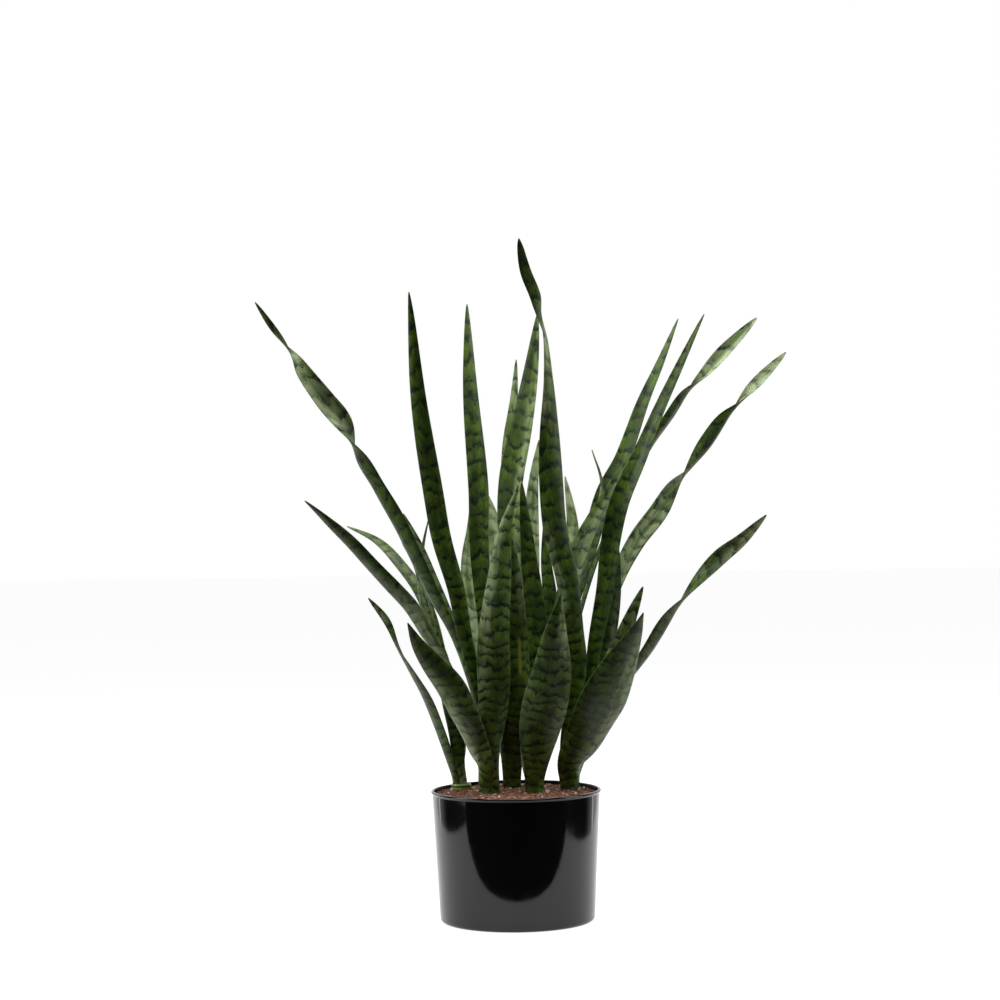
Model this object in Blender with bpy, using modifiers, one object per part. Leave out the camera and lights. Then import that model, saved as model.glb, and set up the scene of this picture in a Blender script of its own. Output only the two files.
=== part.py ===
"""A snake plant of six shoots growing from one rhizome in a plain round gloss pot, in metres, +Z up.

The origin is the centre of the pot's flat underside, and the plant's broad side faces -Y.
"""

import math

import bmesh
import bpy
from mathutils import Vector

MM = 0.001

# Pot: a turned plastic cylinder that widens a little upwards, with a small rounded lip.
POT_HEIGHT = 0.195
POT_RIM_RADIUS = 0.127
POT_NECK_RADIUS = 0.1252
POT_BASE_RADIUS = 0.1155
POT_WALL = 0.0025
POT_FLOOR = 0.004
POT_CORNER = 0.006
POT_LIP_HEIGHT = 0.004
POT_LIP_EASE = 0.0008
POT_SIDES = 56

# Potting mix: fills the pot to just under the lip. Pieces that touch keep this gap.
MIX_TOP = POT_HEIGHT - 0.006
GAP = 0.0003
WELL_OVERSHOOT = 0.01

# Rhizome: one thick underground stem with a crown under each shoot.
CROWN_TOP = MIX_TOP - 0.030
CROWN_DEPTH = 0.034
RHIZOME_RADIUS = 0.010
RHIZOME_DEPTH = 0.020
CROWN_SIDES = 20
RHIZOME_SIDES = 12

# Leaves: each one clasps the younger leaves inside it, so the bases are nested rings.
RING_PITCHES = {
    "left": 0.0030,
    "centre_left": 0.0028,
    "back_left": 0.0031,
    "centre_right": 0.0031,
    "right": 0.0025,
    "back_right": 0.0024,
}
BASE_THICKNESS = 0.0015
BLADE_THICKNESS = 0.0026
TIP_THICKNESS = 0.0012
TIP_WIDTH = 0.0016
TIP_BLUNTNESS = 1.6
THINS_FROM = 0.6
CLASP_ANGLE = math.radians(122)
CHANNEL_ANGLE = math.radians(62)
UNFOLD_HEIGHT = 0.12
UNFOLD_DELAY = 0.008
STRAIGHT_FOOT = 0.010
DIRECTION_STEP = 0.01
EXTRA_ROWS = 2
LEAF_COLUMNS = 5
SHEATH_HEIGHT = 0.009
SHEATH_THICKNESS = 0.0014
SHEATH_EDGE = 0.001

# Each shoot: the centre of its crown in millimetres.
SHOOT_CENTRES = {
    "left": (-83, 60),
    "centre_left": (-39, 15),
    "back_left": (-6, 75),
    "centre_right": (28, 10),
    "right": (78, 42),
    "back_right": (30, 88),
}

RHIZOME_RUNS = (
    ("left", "centre_left"),
    ("centre_left", "centre_right"),
    ("centre_right", "right"),
    ("centre_left", "back_left"),
    ("back_left", "back_right"),
)

# The leaves of each shoot, from the outermost and oldest to the innermost. A leaf has the
# direction from which it clasps the shoot in degrees (0 is +X, 90 is +Y), its greatest width in
# millimetres, where along it that width is, how sharply it tapers to the tip, and the points its
# midrib passes through above the potting mix: x, y and z in millimetres, and the way the blade
# faces in degrees (0 turns its hollow side to -Y, 90 to +X, 180 to +Y).
LEAVES = {
    "left": (
        (205, 32, 0.45, 0.75, (
            (-100, 45, 225, 118), (-115, 40, 275, 122), (-135, 25, 330, 122), (-155, 10, 370, 115),
            (-175, -5, 410, 95), (-190, -20, 450, 55), (-215, -35, 485, 35),
        )),
        (290, 30, 0.5, 0.75, (
            (-85, 50, 225, 190), (-90, 45, 275, 170), (-100, 40, 325, 155), (-110, 45, 380, 140),
            (-125, 50, 425, 130), (-140, 65, 475, 118), (-150, 80, 525, 100), (-170, 90, 565, 95),
        )),
        (130, 26, 0.6, 0.75, (
            (-90, 100, 250, 45), (-105, 120, 335, 48), (-120, 140, 410, 45), (-145, 170, 480, 30),
            (-180, 200, 530, 14), (-215, 225, 565, 5), (-265, 250, 590, 5),
        )),
        (150, 20, 0.5, 0.75, (
            (-80, 85, 255, 50), (-95, 90, 320, 60), (-110, 95, 390, 68), (-125, 100, 455, 70),
            (-135, 110, 505, 65), (-140, 120, 550, 60), (-130, 130, 600, 60),
        )),
    ),
    "centre_left": (
        (218, 48, 0.62, 1.0, (
            (-50, -20, 230, 138), (-60, -25, 265, 155), (-75, -40, 305, 162), (-95, -50, 350, 168),
            (-120, -60, 385, 172), (-140, -70, 415, 175), (-155, -85, 450, 175),
        )),
        (318, 52, 0.45, 0.95, (
            (-35, -15, 255, 205), (-30, -30, 330, 190), (-30, -45, 420, 180), (-20, -50, 515, 178),
            (-10, -50, 590, 170), (10, -45, 650, 150),
        )),
        (222, 33, 0.62, 0.75, (
            (-55, -5, 260, 122), (-75, -10, 315, 122), (-95, -15, 365, 125), (-125, -35, 420, 138),
            (-150, -45, 465, 145), (-175, -55, 495, 150), (-210, -70, 535, 153), (-240, -85, 570, 160),
            (-275, -100, 605, 163), (-300, -120, 630, 165),
        )),
        (160, 40, 0.62, 0.75, (
            (-50, 25, 265, 78), (-65, 30, 340, 105), (-90, 30, 420, 122), (-120, 20, 480, 131),
            (-170, -10, 590, 130), (-200, -20, 645, 128), (-225, -35, 690, 127), (-250, -50, 745, 45),
            (-275, -60, 780, 15), (-305, -70, 820, 35), (-320, -80, 845, 85), (-345, -90, 880, 145),
            (-370, -100, 920, 160),
        )),
        (240, 32, 0.62, 0.75, (
            (-40, 0, 270, 152), (-55, -10, 345, 160), (-75, -20, 435, 170), (-85, -30, 495, 175),
            (-105, -40, 570, 176), (-115, -50, 630, 175), (-135, -80, 775, 170), (-145, -120, 930, 160),
        )),
        (30, 33, 0.62, 0.75, (
            (-35, 20, 265, -40), (-35, 15, 355, -25), (-45, 15, 480, -12), (-50, 20, 570, -8),
            (-50, 30, 645, -5), (-60, 60, 780, -8), (-65, 100, 930, -20),
        )),
    ),
    "back_left": (
        (270, 50, 0.5, 0.9, (
            (-5, 35, 250, 180), (0, 5, 330, 182), (0, 0, 405, 185), (0, -10, 480, 185),
            (0, -15, 530, 185), (-5, -20, 585, 190),
        )),
        (95, 70, 0.75, 0.75, (
            (-15, 100, 260, 18), (-30, 130, 335, 10), (-40, 155, 410, 8), (-50, 180, 505, 5),
            (-45, 200, 580, 5), (-55, 220, 660, 5),
        )),
        (188, 44, 0.55, 0.75, (
            (-25, 60, 260, 98), (-45, 65, 325, 108), (-75, 65, 385, 113), (-100, 65, 445, 112),
            (-120, 60, 500, 112), (-140, 50, 555, 118), (-165, 40, 610, 120),
        )),
        (42, 28, 0.6, 0.75, (
            (0, 95, 260, -22), (0, 105, 335, -12), (0, 155, 470, 0), (-5, 200, 595, 5),
            (-5, 240, 710, 10), (5, 260, 790, 15), (10, 280, 855, 20),
        )),
        (20, 40, 0.65, 0.75, (
            (0, 75, 260, -40), (0, 80, 335, -15), (0, 95, 475, -5), (-5, 120, 595, 0),
            (0, 140, 665, 0), (15, 160, 735, 5), (30, 190, 815, 10), (45, 220, 925, 20),
        )),
    ),
    "centre_right": (
        (265, 71, 0.5, 1.0, (
            (30, -20, 235, 178), (35, -35, 280, 178), (45, -50, 325, 180), (55, -60, 370, 182),
            (60, -75, 420, 185), (70, -90, 490, 200),
        )),
        (190, 34, 0.45, 0.9, (
            (15, 5, 225, 140), (20, 0, 275, 160), (35, -10, 330, 175), (50, -15, 375, 180),
            (65, -20, 415, 180),
        )),
        (80, 30, 0.5, 0.75, (
            (35, 35, 250, -5), (40, 50, 325, 0), (50, 60, 400, 5), (55, 70, 475, 10),
            (50, 75, 535, 15), (50, 80, 605, 15),
        )),
        (150, 34, 0.55, 0.75, (
            (25, 15, 250, 50), (30, 40, 325, 20), (35, 45, 415, 0), (30, 50, 490, 0),
            (25, 50, 535, -5), (20, 50, 595, -10), (15, 50, 655, -15),
        )),
        (10, 38, 0.55, 0.75, (
            (40, 15, 250, -75), (55, 20, 325, -60), (70, 35, 415, -45), (85, 50, 490, -32),
            (105, 70, 555, -18), (140, 85, 620, -20), (185, 90, 695, -30),
        )),
    ),
    "right": (
        (290, 82, 0.54, 1.0, (
            (85, 10, 230, 195), (110, 0, 275, 195), (130, -20, 315, 195), (145, -35, 350, 198),
            (165, -50, 395, 203), (180, -65, 430, 208), (190, -80, 460, 215),
        )),
        (12, 30, 0.75, 0.75, (
            (110, 50, 245, 266), (130, 30, 290, 245), (160, 25, 340, 235), (200, 10, 395, 225),
            (230, -5, 445, 225), (270, -20, 495, 282), (310, -30, 540, 330), (340, -40, 565, 345),
            (375, -50, 600, 350),
        )),
        (5, 36, 0.55, 0.75, (
            (100, 40, 250, 262), (120, 30, 305, 225), (140, 30, 355, 208), (160, 25, 405, 197),
            (175, 20, 445, 190), (195, 15, 495, 185),
        )),
        (228, 40, 0.6, 0.55, (
            (75, 15, 255, 160), (85, 10, 315, 172), (95, 0, 380, 180), (90, -5, 430, 185),
            (80, -10, 515, 188), (65, -20, 580, 192), (60, -25, 655, 198), (60, -35, 730, 220),
            (60, -50, 795, 244), (55, -65, 860, 265), (45, -75, 900, 288), (40, -80, 925, 320),
            (25, -95, 960, 345), (15, -120, 1005, 350),
        )),
        (-32, 33, 0.62, 0.75, (
            (90, 45, 255, -85), (110, 45, 325, -55), (125, 45, 415, -25), (140, 50, 490, -12),
            (150, 50, 565, -15), (165, 40, 625, -25), (195, 30, 690, -40), (225, 20, 760, -50),
            (260, 0, 835, -55), (290, -20, 900, -60),
        )),
        (75, 37, 0.65, 0.6, (
            (85, 80, 260, -15), (110, 90, 335, -32), (135, 115, 425, -42), (165, 135, 505, -38),
            (195, 145, 560, -32), (230, 150, 605, -32), (255, 155, 645, -58), (280, 160, 675, -100),
            (305, 165, 710, -130), (330, 170, 745, -127), (355, 175, 770, -85), (395, 185, 815, -10),
            (435, 195, 855, 0),
        )),
        (60, 34, 0.55, 0.75, (
            (90, 60, 255, -38), (115, 65, 320, -45), (140, 75, 395, -35), (155, 80, 475, -30),
            (160, 80, 535, -35), (160, 80, 565, -40),
        )),
    ),
    "back_right": (
        (40, 32, 0.6, 0.8, (
            (50, 110, 250, -42), (65, 140, 330, -20), (80, 185, 440, -8), (95, 205, 530, -5),
            (95, 220, 595, -5), (85, 235, 665, 0),
        )),
        (168, 32, 0.6, 0.8, (
            (20, 100, 255, 50), (15, 135, 335, 20), (25, 190, 470, 5), (30, 240, 595, 0),
            (35, 260, 660, 5), (45, 280, 725, 15),
        )),
        (12, 16, 0.5, 0.75, (
            (50, 90, 260, -60), (65, 100, 335, -42), (95, 115, 470, -40), (125, 125, 580, -40),
            (140, 135, 650, -50), (125, 140, 705, -60),
        )),
        (340, 34, 0.75, 0.6, (
            (40, 75, 260, -90), (70, 80, 335, -78), (110, 90, 475, -76), (145, 105, 570, -80),
            (185, 125, 645, -92), (215, 140, 705, -103), (250, 150, 755, -110), (275, 160, 790, -98),
            (305, 165, 820, -50), (335, 175, 855, -12), (365, 185, 885, -5), (390, 195, 910, -5),
        )),
        (118, 30, 0.6, 0.75, (
            (40, 105, 260, -24), (60, 110, 335, -38), (85, 125, 440, -22), (120, 140, 555, -12),
            (145, 160, 635, -10), (175, 175, 690, -15), (210, 200, 780, -20), (240, 220, 845, -25),
            (270, 250, 915, -30),
        )),
    ),
}


def clear_scene():
    for item in list(bpy.data.objects):
        bpy.data.objects.remove(item)


def new_collection(name, hidden=False):
    collection = bpy.data.collections.new(name)
    bpy.context.scene.collection.children.link(collection)
    collection.hide_render = hidden
    return collection


def material(name, colour, roughness, metallic=0.0):
    made = bpy.data.materials.new(name)
    made.use_nodes = True
    shader = made.node_tree.nodes["Principled BSDF"]
    shader.inputs["Base Color"].default_value = (*colour, 1.0)
    shader.inputs["Roughness"].default_value = roughness
    shader.inputs["Metallic"].default_value = metallic
    return made


def mesh_object(name, collection, finish=None):
    mesh = bpy.data.meshes.new(name)
    made = bpy.data.objects.new(name, mesh)
    collection.objects.link(made)
    if finish is not None:
        mesh.materials.append(finish)
    return made


def smooth(item, degrees=35):
    item.data.shade_smooth()
    item.data.set_sharp_from_angle(angle=math.radians(degrees))


def turned(name, profile, sides, collection, finish=None):
    """A solid of revolution from a profile that runs down its outer side."""
    made = mesh_object(name, collection, finish)
    build = bmesh.new()
    points = [build.verts.new((radius, 0.0, height)) for radius, height in profile]
    for first, second in zip(points, points[1:]):
        build.edges.new((first, second))
    build.to_mesh(made.data)
    build.free()
    screw = made.modifiers.new("Turn", "SCREW")
    screw.steps = sides
    screw.render_steps = sides
    screw.use_merge_vertices = True
    screw.merge_threshold = 0.00001
    screw.use_smooth_shade = True
    return made


def arc(centre, radius, start, end, steps):
    """Points of an arc in the profile's plane, from a start angle to an end angle in degrees."""
    points = []
    for step in range(steps + 1):
        angle = math.radians(start + (end - start) * step / steps)
        points.append((centre[0] + radius * math.cos(angle), centre[1] + radius * math.sin(angle)))
    return points


def wall_radius(height):
    """The pot's outer radius at a height between its corner and its lip."""
    share = height / (POT_HEIGHT - POT_LIP_HEIGHT)
    return POT_BASE_RADIUS + (POT_NECK_RADIUS - POT_BASE_RADIUS) * share


def make_pot(collection):
    finish = material("gloss_black_plastic", (0.006, 0.006, 0.007), 0.12)
    lip_round = POT_LIP_HEIGHT / 2
    lip_bottom = POT_HEIGHT - POT_LIP_HEIGHT
    inner_corner = POT_CORNER - POT_WALL
    inner_base = POT_BASE_RADIUS - POT_WALL
    outside = (
        [(wall_radius(lip_bottom) - POT_WALL, POT_HEIGHT - POT_LIP_EASE)]
        + [(wall_radius(lip_bottom) - POT_WALL + POT_LIP_EASE, POT_HEIGHT)]
        + arc((POT_RIM_RADIUS - lip_round, POT_HEIGHT - lip_round), lip_round, 90, -60, 4)
        + [(wall_radius(lip_bottom - POT_LIP_EASE), lip_bottom - POT_LIP_EASE)]
        + arc((POT_BASE_RADIUS - POT_CORNER, POT_CORNER), POT_CORNER, 0, -90, 4)
        + [(0.0, 0.0)]
    )
    inside = (
        [(0.0, POT_FLOOR)]
        + arc((inner_base - inner_corner, POT_FLOOR + inner_corner), inner_corner, -90, 0, 3)
    )
    profile = outside + inside + outside[:1]
    return turned("pot", profile, POT_SIDES, collection, finish)


def ring_radius(shoot, order):
    """How far the leaf of this order, counted from the outside, stands from its shoot's centre."""
    return RING_PITCHES[shoot] * (len(LEAVES[shoot]) - order)


def bundle_radius(shoot):
    """The radius that the nested bases of a shoot fill, with its sheath."""
    radius = ring_radius(shoot, 0) + BASE_THICKNESS / 2 + 2 * GAP
    if shoot == "left":
        radius += SHEATH_THICKNESS + GAP
    return radius


def centre_of(shoot, height):
    x, y = SHOOT_CENTRES[shoot]
    return Vector((x * MM, y * MM, height))


def upright_cylinder(name, centre, radius, bottom, top, collection):
    made = mesh_object(name, collection)
    build = bmesh.new()
    bmesh.ops.create_cone(
        build, cap_ends=True, segments=CROWN_SIDES, radius1=radius, radius2=radius, depth=top - bottom
    )
    build.to_mesh(made.data)
    build.free()
    made.location = (centre.x, centre.y, (top + bottom) / 2)
    return made


def rhizome_run(name, start, end, radius, collection):
    made = mesh_object(name, collection)
    build = bmesh.new()
    bmesh.ops.create_cone(
        build,
        cap_ends=True,
        segments=RHIZOME_SIDES,
        radius1=radius,
        radius2=radius,
        depth=(end - start).length,
    )
    build.to_mesh(made.data)
    build.free()
    made.rotation_mode = "QUATERNION"
    made.rotation_quaternion = (end - start).to_track_quat("Z", "Y")
    made.location = (start + end) / 2
    return made


def boolean(item, other, operation):
    modifier = item.modifiers.new(operation.title(), "BOOLEAN")
    modifier.operation = operation
    modifier.solver = "EXACT"
    modifier.object = other


def hide_cutter(item):
    item.hide_render = True
    item.display_type = "WIRE"


def rhizome_shape(name, growth, crown_top, collection, cutters):
    """The rhizome, grown by a margin all round and with its crowns up to a height."""
    body = None
    for shoot in SHOOT_CENTRES:
        centre = centre_of(shoot, 0.0)
        bottom = CROWN_TOP - CROWN_DEPTH - growth
        label = name if body is None else f"{name}_crown_{shoot}"
        home = collection if body is None else cutters
        crown = upright_cylinder(
            label, centre, bundle_radius(shoot) + growth, bottom, crown_top, home
        )
        if body is None:
            body = crown
        else:
            hide_cutter(crown)
            boolean(body, crown, "UNION")
    for start, end in RHIZOME_RUNS:
        level = CROWN_TOP - RHIZOME_DEPTH
        run = rhizome_run(
            f"{name}_run_{start}_{end}",
            centre_of(start, level),
            centre_of(end, level),
            RHIZOME_RADIUS + growth,
            cutters,
        )
        hide_cutter(run)
        boolean(body, run, "UNION")
    return body


def make_rhizome(collection, cutters):
    body = rhizome_shape("rhizome", 0.0, CROWN_TOP, collection, cutters)
    body.data.materials.append(material("pale_rhizome", (0.55, 0.34, 0.14), 0.7))
    return body


def make_potting_mix(collection, cutters):
    finish = material("potting_mix", (0.075, 0.038, 0.022), 0.95)
    bottom = POT_FLOOR + GAP
    low_radius = POT_BASE_RADIUS - POT_WALL - GAP
    top_radius = wall_radius(MIX_TOP) - POT_WALL - GAP
    profile = (
        [(0.0, MIX_TOP), (top_radius, MIX_TOP)]
        + arc((low_radius - POT_CORNER, bottom + POT_CORNER), POT_CORNER, 0, -90, 3)
        + [(0.0, bottom)]
    )
    mix = turned("potting_mix", profile, POT_SIDES, collection, finish)
    space = rhizome_shape("rhizome_space", GAP, MIX_TOP + WELL_OVERSHOOT, cutters, cutters)
    hide_cutter(space)
    boolean(mix, space, "DIFFERENCE")
    return mix


def make_sheath(collection):
    """The dry ring left at the foot of the left shoot by its oldest leaf."""
    finish = material("leaf_sheath", (0.42, 0.50, 0.20), 0.45)
    outer = bundle_radius("left")
    inner = outer - SHEATH_THICKNESS
    bottom = CROWN_TOP + GAP
    top = MIX_TOP + SHEATH_HEIGHT
    profile = [(inner, top), (outer, top - SHEATH_EDGE), (outer, bottom), (inner, bottom), (inner, top)]
    sheath = turned("sheath_left", profile, CROWN_SIDES, collection, finish)
    sheath.location = centre_of("left", 0.0)
    return sheath


def lengths_along(points):
    """The distance from the first point to each point, measured from point to point."""
    lengths = [0.0]
    for first, second in zip(points, points[1:]):
        lengths.append(lengths[-1] + (Vector(second[:3]) - Vector(first[:3])).length)
    return lengths


def spline(points, share):
    """A smooth curve through rows of numbers, read at a share of its length from 0 to 1."""
    lengths = lengths_along(points)
    at = share * lengths[-1]
    index = 0
    while index < len(points) - 2 and lengths[index + 1] < at:
        index += 1
    span = lengths[index + 1] - lengths[index]
    part = (at - lengths[index]) / span

    def slope(place, number):
        low = max(place - 1, 0)
        high = min(place + 1, len(points) - 1)
        return (points[high][number] - points[low][number]) / (lengths[high] - lengths[low])

    found = []
    for number in range(len(points[0])):
        start, end = points[index][number], points[index + 1][number]
        first, second = slope(index, number) * span, slope(index + 1, number) * span
        bend = 2 * start - 2 * end + first + second
        swing = -3 * start + 3 * end - 2 * first - second
        found.append(start + first * part + swing * part**2 + bend * part**3)
    return found


def eased(share):
    share = min(max(share, 0.0), 1.0)
    return share * share * (3 - 2 * share)


def leaf_route(shoot, order):
    """The midrib's points in metres with the turn of the blade, from the crown to the tip."""
    clasp, _, _, _, path = LEAVES[shoot][order]
    outward = Vector((math.cos(math.radians(clasp)), math.sin(math.radians(clasp)), 0.0))
    foot = centre_of(shoot, 0.0) + outward * ring_radius(shoot, order)
    turn = clasp - 90
    turn += 360 * round((path[0][3] - turn) / 360)
    route = [(foot.x, foot.y, z, turn) for z in (CROWN_TOP + GAP, MIX_TOP, MIX_TOP + STRAIGHT_FOOT)]
    for x, y, z, face in path:
        route.append((x * MM, y * MM, z * MM, face))
    return route


def blade_width(share, unfolded, base_width, width, widest, taper):
    """The blade's width measured round its curve at a share of its length."""
    if share < widest:
        return base_width + (width - base_width) * min(eased(share / widest), unfolded)
    beyond = min((share - widest) / (1 - widest), 1.0)
    return TIP_WIDTH + (width - TIP_WIDTH) * (1 - beyond**TIP_BLUNTNESS) ** taper


def blade_frame(route, share):
    """Where the midrib is, with the blade's sideways and hollow-side directions."""
    x, y, z, turn = spline(route, share)
    here = Vector((x, y, z))
    before = Vector(spline(route, max(share - DIRECTION_STEP, 0.0))[:3])
    after = Vector(spline(route, min(share + DIRECTION_STEP, 1.0))[:3])
    along = (after - before).normalized()
    across = Vector((1, 0, 0))
    across = (across - along * across.dot(along)).normalized()
    away = along.cross(across)
    side = across * math.cos(math.radians(turn)) + away * math.sin(math.radians(turn))
    return here, side, side.cross(along)


def make_leaf(shoot, order, finish, collection):
    _, width, widest, taper, _ = LEAVES[shoot][order]
    route = leaf_route(shoot, order)
    base_width = ring_radius(shoot, order) * CLASP_ANGLE
    name = f"leaf_{shoot}_{order + 1}"
    made = mesh_object(name, collection, finish)
    rows = len(route) + EXTRA_ROWS
    lengths = lengths_along(route)
    foot_share = lengths[2] / lengths[-1]
    build = bmesh.new()
    bmesh.ops.create_grid(build, x_segments=LEAF_COLUMNS, y_segments=rows, size=1.0)
    thickness = {}
    for vertex in build.verts:
        row = round((vertex.co.y + 1) / 2 * rows)
        share = 0.0 if row == 0 else foot_share + (1 - foot_share) * (row - 1) / (rows - 1)
        part = vertex.co.x
        here, side, hollow = blade_frame(route, share)
        unfolded = eased((here.z - MIX_TOP - UNFOLD_DELAY * order) / UNFOLD_HEIGHT)
        angle = CLASP_ANGLE + (CHANNEL_ANGLE - CLASP_ANGLE) * unfolded
        reach = blade_width(share, unfolded, base_width, width * MM, widest, taper) / angle
        bend = part * angle / 2
        vertex.co = here + side * (reach * math.sin(bend)) + hollow * (reach * (1 - math.cos(bend)))
        full = BASE_THICKNESS + (BLADE_THICKNESS - BASE_THICKNESS) * unfolded
        thinned = eased((share - THINS_FROM) / (1 - THINS_FROM))
        thickness[vertex.index] = full + (TIP_THICKNESS - full) * thinned
    build.to_mesh(made.data)
    build.free()
    group = made.vertex_groups.new(name="thickness")
    for index, value in thickness.items():
        group.add([index], value / BLADE_THICKNESS, "REPLACE")
    shell = made.modifiers.new("Thickness", "SOLIDIFY")
    shell.thickness = BLADE_THICKNESS
    shell.offset = 0.0
    shell.vertex_group = group.name
    smooth(made, 60)
    return made


def make_leaves(collection):
    finish = material("leaf_green", (0.035, 0.085, 0.020), 0.38)
    for shoot, leaves in LEAVES.items():
        for order in range(len(leaves)):
            make_leaf(shoot, order, finish, collection)


def main():
    clear_scene()
    plant = new_collection("potted_snake_plant")
    cutters = new_collection("cutters", hidden=True)
    make_pot(plant)
    make_potting_mix(plant, cutters)
    make_rhizome(plant, cutters)
    make_sheath(plant)
    make_leaves(plant)


main()
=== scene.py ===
"""A potted snake plant: banded sword leaves in six tight shoots, in a plain gloss black pot."""

import math
import random

import bmesh
import bpy
from mathutils import Matrix, Quaternion, Vector, noise


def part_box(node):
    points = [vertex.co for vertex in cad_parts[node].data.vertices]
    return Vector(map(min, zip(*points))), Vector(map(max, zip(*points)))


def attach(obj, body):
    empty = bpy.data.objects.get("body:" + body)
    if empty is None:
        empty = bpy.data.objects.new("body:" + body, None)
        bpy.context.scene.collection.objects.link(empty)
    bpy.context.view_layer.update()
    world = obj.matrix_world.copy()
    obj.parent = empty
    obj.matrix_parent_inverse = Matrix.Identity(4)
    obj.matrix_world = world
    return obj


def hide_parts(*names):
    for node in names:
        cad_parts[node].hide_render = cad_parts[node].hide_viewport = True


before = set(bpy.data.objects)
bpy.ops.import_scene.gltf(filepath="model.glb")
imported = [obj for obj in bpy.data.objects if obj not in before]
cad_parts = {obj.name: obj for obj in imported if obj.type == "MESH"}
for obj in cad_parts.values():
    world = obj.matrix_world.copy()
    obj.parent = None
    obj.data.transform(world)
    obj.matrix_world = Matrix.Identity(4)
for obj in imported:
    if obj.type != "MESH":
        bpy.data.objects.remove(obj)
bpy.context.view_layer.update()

MM = 0.001

# ---------------------------------------------------------------------------------------------
# Sizes in metres, the same as the solids'
# ---------------------------------------------------------------------------------------------

POT_LOW, POT_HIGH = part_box("pot")
MIX_LOW, MIX_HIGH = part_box("potting_mix")
POT_HEIGHT = POT_HIGH[2]
POT_RIM_RADIUS = (POT_HIGH[0] - POT_LOW[0]) / 2
POT_NECK_RADIUS = 0.1252
POT_BASE_RADIUS = 0.1155
POT_WALL = 0.0025
POT_FLOOR = 0.004
POT_CORNER = 0.006
POT_LIP_HEIGHT = 0.004
MIX_TOP = MIX_HIGH[2]
GAP = 0.0003
CROWN_TOP = MIX_TOP - 0.030

RING_PITCHES = {
    "left": 0.0030,
    "centre_left": 0.0028,
    "back_left": 0.0031,
    "centre_right": 0.0031,
    "right": 0.0025,
    "back_right": 0.0024,
}
BASE_THICKNESS = 0.0015
BLADE_THICKNESS = 0.0026
TIP_THICKNESS = 0.0012
TIP_WIDTH = 0.0016
TIP_BLUNTNESS = 1.6
THINS_FROM = 0.6
CLASP_ANGLE = math.radians(122)
CHANNEL_ANGLE = math.radians(62)
UNFOLD_HEIGHT = 0.12
UNFOLD_DELAY = 0.008
STRAIGHT_FOOT = 0.010
DIRECTION_STEP = 0.01
SHEATH_HEIGHT = 0.009
SHEATH_THICKNESS = 0.0014

# Each shoot: the centre of its crown in millimetres.
SHOOT_CENTRES = {
    "left": (-83, 60),
    "centre_left": (-39, 15),
    "back_left": (-6, 75),
    "centre_right": (28, 10),
    "right": (78, 42),
    "back_right": (30, 88),
}

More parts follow.
